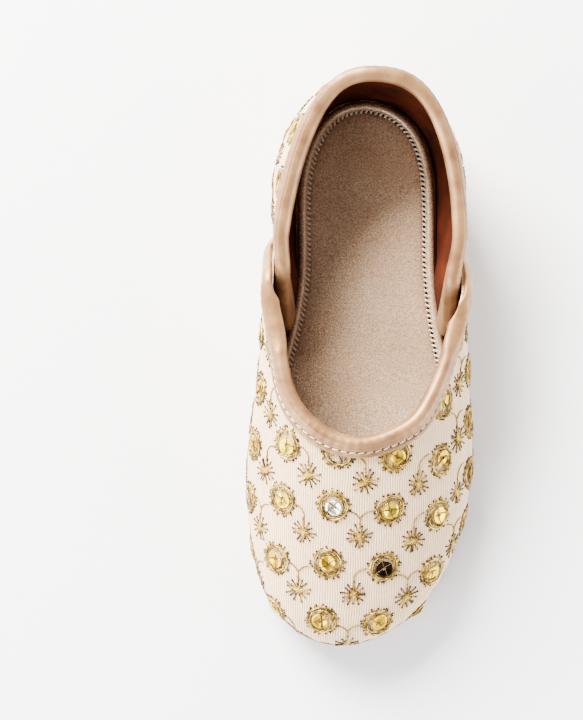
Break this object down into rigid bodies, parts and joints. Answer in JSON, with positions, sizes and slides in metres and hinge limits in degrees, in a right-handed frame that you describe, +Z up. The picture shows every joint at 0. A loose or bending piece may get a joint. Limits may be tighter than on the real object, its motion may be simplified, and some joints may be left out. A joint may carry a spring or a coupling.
{
  "type": "mojari shoe",
  "caption": "Child's flat slip-on mojari shoe, left, with embroidered fabric vamp and quarter, bound edges, smooth insole and ribbed sole with a low heel.",
  "frame": {"origin": "centre of the shoe's outline on the floor that the heel and forefoot stand on", "axes": "+Y from the toe to the heel, +X to the outer (lateral) side, +Z up"},
  "size_m": [0.0638, 0.158, 0.0535],
  "materials": {
    "sole": "matt moulded, pinkish brown",
    "insole": "fine-grained with a pewter sheen",
    "fabric": "ribbed cream fabric with gold embroidery",
    "binding": "satin, rose-beige"
  },
  "bodies": {
    "root": {"outsole": "sole", "insole": "insole", "upper": "fabric", "vamp_binding": "binding", "collar_binding": "binding"}
  },
  "joints": []
}
